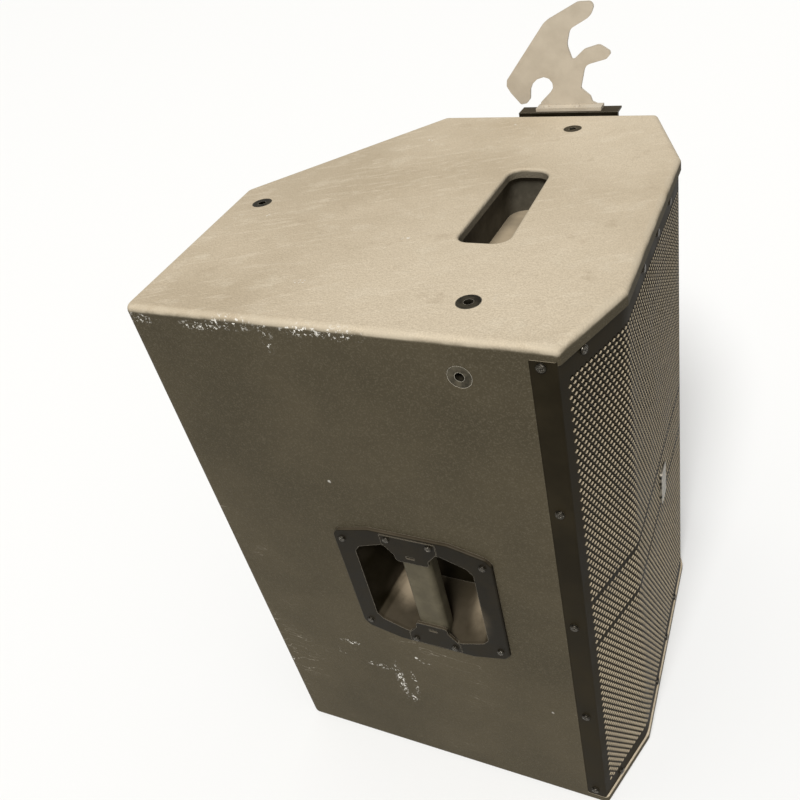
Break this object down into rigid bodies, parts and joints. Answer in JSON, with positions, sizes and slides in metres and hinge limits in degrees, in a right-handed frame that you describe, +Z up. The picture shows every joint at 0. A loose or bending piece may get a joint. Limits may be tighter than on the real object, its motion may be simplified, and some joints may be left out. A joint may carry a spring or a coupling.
{
  "type": "stage monitor wedge",
  "caption": "Stage monitor wedge with an angled plan, perforated front grille, bar handle, hand slot, rigging inserts, pole socket and a steel hook plate; woofer and horn inside.",
  "frame": {"origin": "on the floor plane under the middle of the whole object's plan, with the cabinet standing on its end", "axes": "+X leaves the baffle, -Y leaves the side with the bar handle, +Z is up when it stands on its end"},
  "size_m": [0.4807, 0.5099, 0.7924],
  "materials": {
    "cabinet_paint": "textured polyurea coat on birch plywood",
    "black_wood": "black stained plywood",
    "grille_steel": "powder coated perforated steel",
    "acoustic_foam": "open cell foam",
    "black_steel": "blackened zinc screws",
    "badge_metal": "plain plate",
    "handle_plastic": "moulded, fine grain",
    "insert_steel": "blackened, worn rim",
    "hook_steel": "dusty beige paint",
    "bolt_steel": "zinc",
    "plate_steel": "black powder coat",
    "foot_rubber": "matt rubber",
    "cast_frame": "black painted casting",
    "cone_paper": "treated paper pulp",
    "treated_cloth": "resin treated cloth",
    "coil_copper": "enamelled copper",
    "motor_steel": "zinc plated",
    "ferrite": "sintered ferrite",
    "black_plastic": "moulded",
    "titanium_foil": "thin formed metal",
    "circuit_board": "glass epoxy"
  },
  "bodies": {
    "cabinet": {"acoustic_wadding": "acoustic_foam", "badge_plate": "badge_metal", "baffle": "black_wood", "baffle_cleats": "black_wood", "bottom_panel": "cabinet_paint", "connector_plate": "plate_steel", "connector_screws": "black_steel", "cross_brace": "black_wood", "crossover_board": "circuit_board", "crossover_capacitors": "black_plastic", "crossover_coils": "coil_copper", "crossover_posts": "bolt_steel", "crossover_resistors": "black_plastic", "crossover_screws": "black_steel", "driver_clamp_ring": "cast_frame", "driver_cover": "cast_frame", "driver_magnet": "ferrite", "driver_phase_plug": "black_plastic", "driver_top_plate": "motor_steel", "driver_yoke": "motor_steel", "far_side_panel": "cabinet_paint", "floor_panel": "cabinet_paint", "foot_screws": "black_steel", "grille": "grille_steel", "grille_battens": "black_wood", "grille_foam": "acoustic_foam", "grille_screws": "black_steel", "hand_slot_cup": "handle_plastic", "handle_caps": "handle_plastic", "handle_cup": "handle_plastic", "handle_grip": "handle_plastic", "handle_screws": "black_steel", "hook_bolts": "bolt_steel", "hook_bracket": "plate_steel", "hook_plate": "hook_steel", "hook_rivets": "hook_steel", "horn": "black_plastic", "horn_screws": "black_steel", "near_side_panel": "cabinet_paint", "pole_socket": "insert_steel", "pole_socket_screws": "black_steel", "port_tubes": "black_plastic", "rear_panel": "cabinet_paint", "rigging_inserts": "insert_steel", "rubber_feet": "foot_rubber", "speaker_sockets": "handle_plastic", "top_panel": "cabinet_paint", "woofer_back_plate": "motor_steel", "woofer_basket": "cast_frame", "woofer_bolts": "black_steel", "woofer_gasket": "foot_rubber", "woofer_magnet": "ferrite", "woofer_spider": "treated_cloth", "woofer_surround": "treated_cloth", "woofer_terminals": "bolt_steel", "woofer_top_plate": "motor_steel"},
    "cone_assembly": {"woofer_cone": "cone_paper", "woofer_dust_cap": "cone_paper", "woofer_voice_coil": "coil_copper"},
    "diaphragm_assembly": {"driver_diaphragm": "titanium_foil"}
  },
  "joints": [
    {"name": "cone_travel", "type": "slide", "parent": "cabinet", "child": "cone_assembly", "axis": [1, 0, 0], "range_m": [-0.008, 0.008], "stiffness_N_per_m": 6000, "deforming": ["woofer_surround", "woofer_spider"]},
    {"name": "diaphragm_travel", "type": "slide", "parent": "cabinet", "child": "diaphragm_assembly", "axis": [1, 0, 0], "range_m": [-0.0004, 0.0004], "stiffness_N_per_m": 1500}
  ]
}
